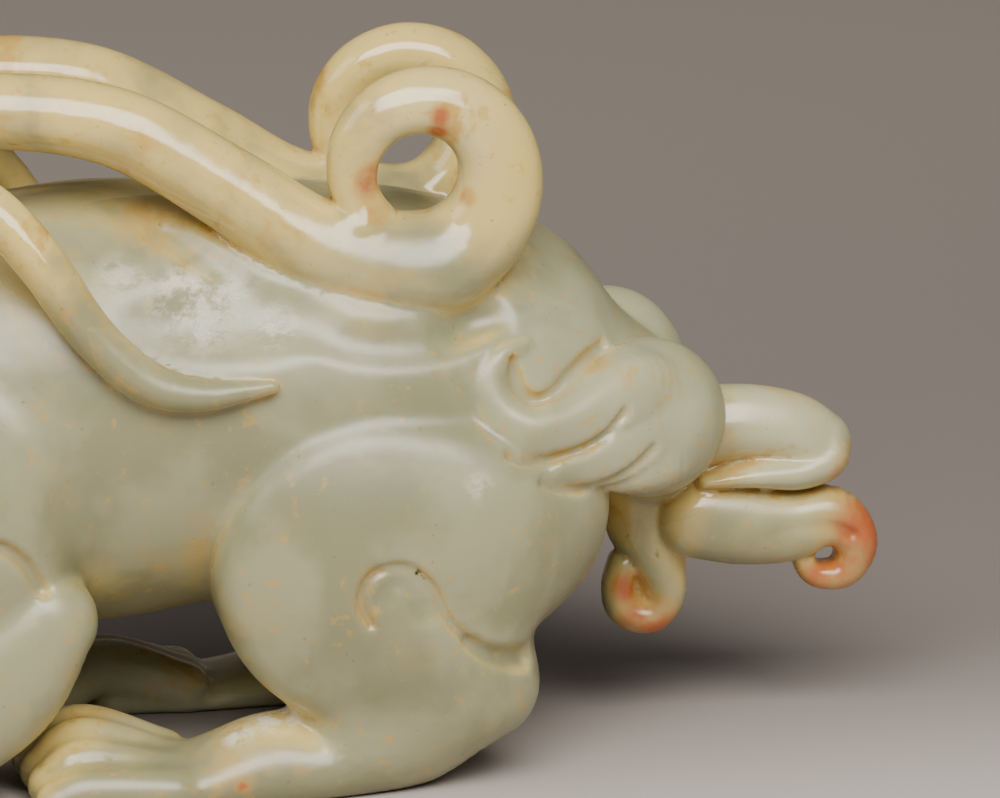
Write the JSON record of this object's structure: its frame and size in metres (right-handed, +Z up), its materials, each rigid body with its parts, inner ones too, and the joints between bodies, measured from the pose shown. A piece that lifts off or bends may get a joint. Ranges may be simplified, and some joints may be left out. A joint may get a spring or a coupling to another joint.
{
  "type": "carved stone animal figure",
  "caption": "Small hardstone carving of a crouching horned beast with long horns that end in rings and a tail of curled locks.",
  "frame": {"origin": "on the ground under the middle of the figure's bounding box", "axes": "+Z up, -X towards the head and +X towards the tail, -Y is the side that the picture shows"},
  "size_m": [0.1414, 0.05, 0.0726],
  "materials": {
    "jade": "polished pale celadon nephrite with warm ochre and orange-red skin in the grooves and on the curls"
  },
  "bodies": {
    "root": {"beast": "jade"}
  },
  "joints": []
}
